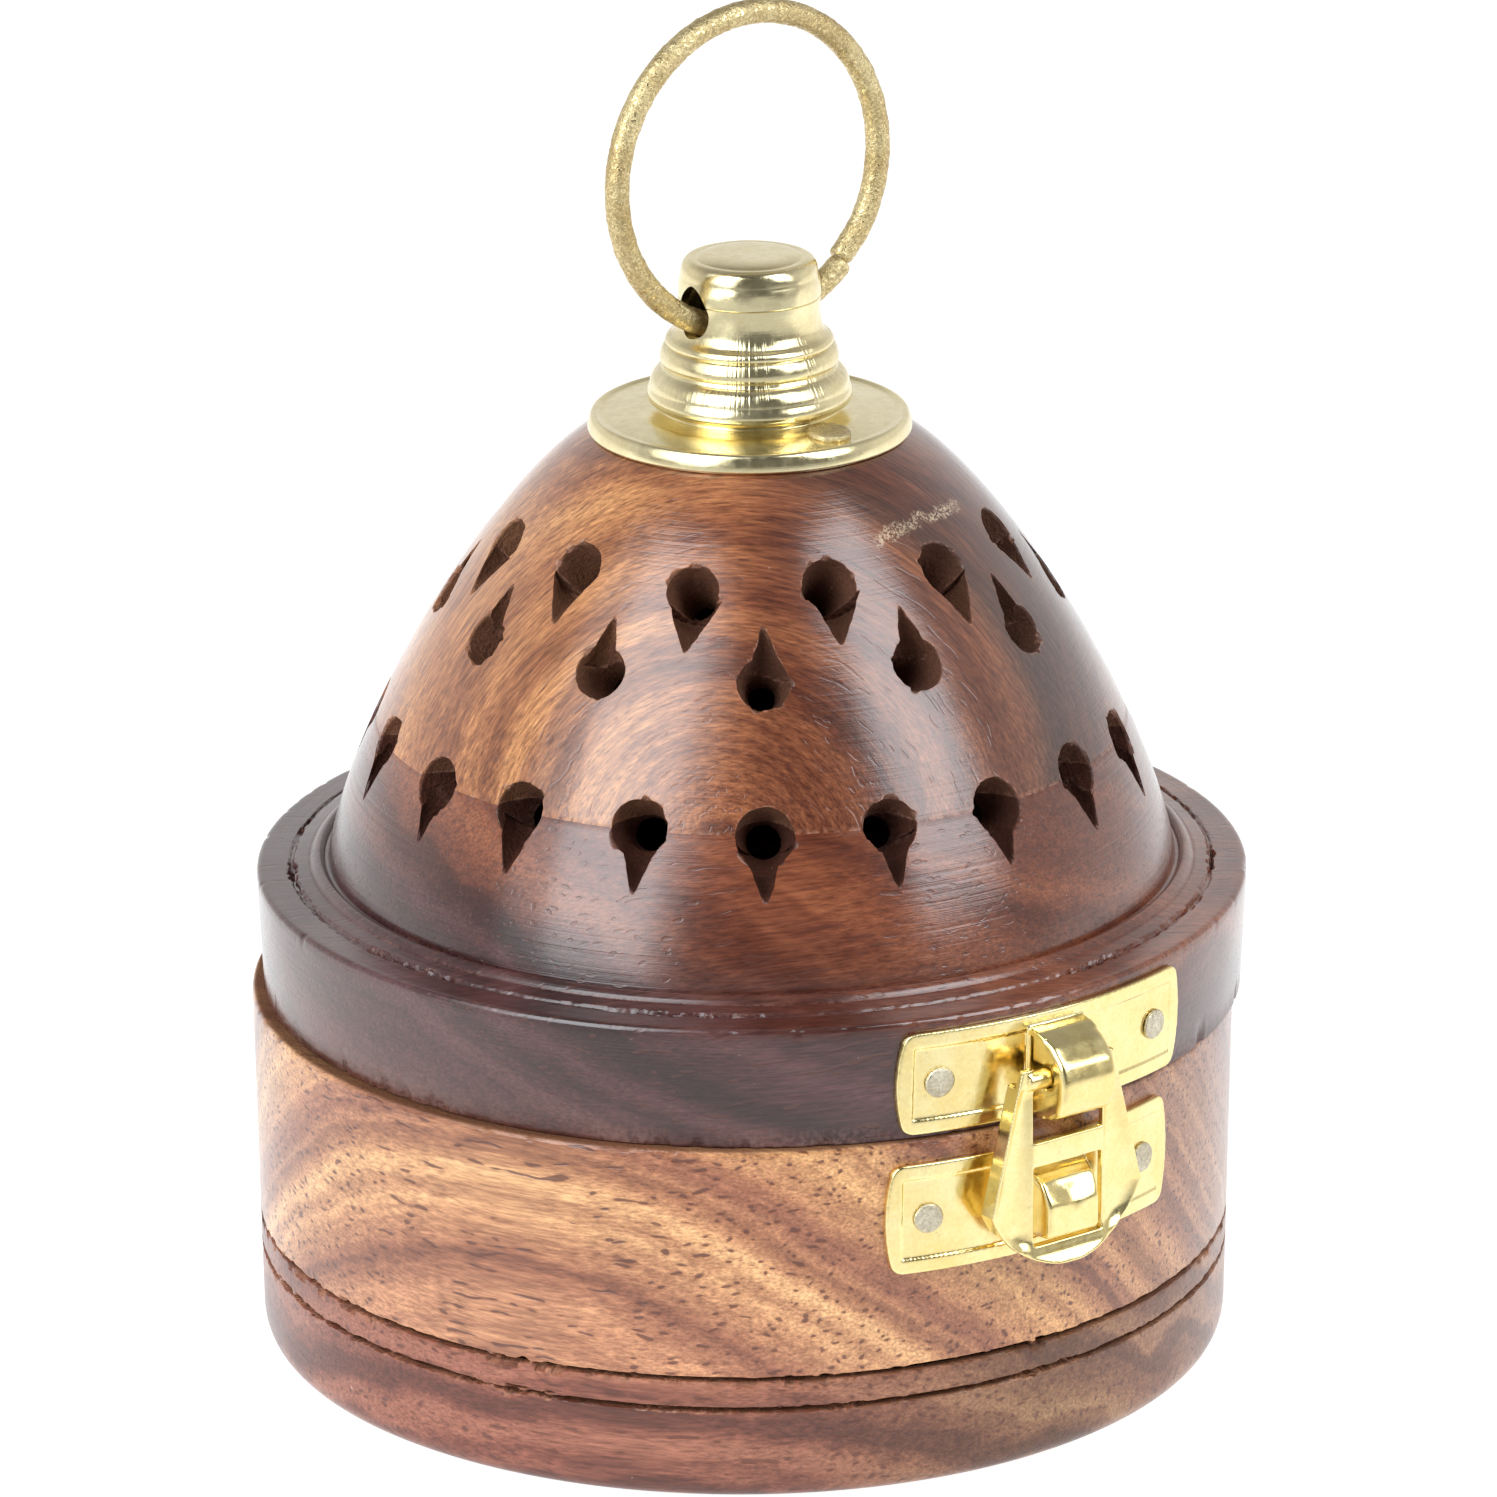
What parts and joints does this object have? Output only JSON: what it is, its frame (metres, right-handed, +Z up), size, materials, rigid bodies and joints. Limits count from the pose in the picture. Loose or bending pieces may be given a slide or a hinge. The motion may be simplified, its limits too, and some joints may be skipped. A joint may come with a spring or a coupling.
{
  "type": "incense burner",
  "caption": "Round turned wooden incense burner with a hinged, pierced dome lid, a brass finial with a swinging carrying ring, and a hasp latch.",
  "frame": {"origin": "centre of the round underside", "axes": "+Z up; -Y is the front, where the latch is; +Y is the back, where the lid's hinge is; the carrying ring stands in the XZ plane"},
  "size_m": [0.1015, 0.1101, 0.1385],
  "materials": {
    "dark_wood": "polished, dark red-brown with fine streaks",
    "light_wood": "polished, golden brown with darker diagonal streaks",
    "rim_wood": "polished, purple-brown",
    "dome_wood": "polished, orange-brown with swirled grain",
    "finial_brass": "spun and polished",
    "ring_brass": "rough drawn wire",
    "plate_brass": "bright plated sheet",
    "nail_brass": "polished",
    "dish_brass": "spun, slightly dull",
    "nail_steel": "rough hammered heads"
  },
  "bodies": {
    "base": {"base_plinth": "dark_wood", "base_wall": "light_wood", "ember_dish": "dish_brass", "dish_nails": "nail_steel", "catch_plate": "plate_brass", "catch_nails": "nail_steel", "hinge_leaf_base": "plate_brass", "hinge_nails_base": "nail_steel", "hinge_pin": "nail_steel"},
    "lid": {"lid_rim": "rim_wood", "lid_dome": "dome_wood", "finial": "finial_brass", "finial_nails": "nail_brass", "latch_plate": "plate_brass", "latch_nails": "nail_steel", "hinge_leaf_lid": "plate_brass", "hinge_nails_lid": "nail_steel"},
    "hasp": {"hasp": "plate_brass"},
    "ring": {"carrying_ring": "ring_brass"}
  },
  "joints": [
    {"name": "lid_hinge", "type": "hinge", "parent": "base", "child": "lid", "pos_m": [0, 0.0519, 0.03687], "axis": [-1, 0, 0], "range_deg": [0, 110]},
    {"name": "hasp_swing", "type": "hinge", "parent": "lid", "child": "hasp", "pos_m": [0, -0.0534, 0.0424], "axis": [-1, 0, 0], "range_deg": [0, 160]},
    {"name": "ring_swing", "type": "hinge", "parent": "lid", "child": "ring", "pos_m": [0.0012, 0, 0.1068], "axis": [1, 0, 0], "range_deg": [-120, 120]}
  ]
}
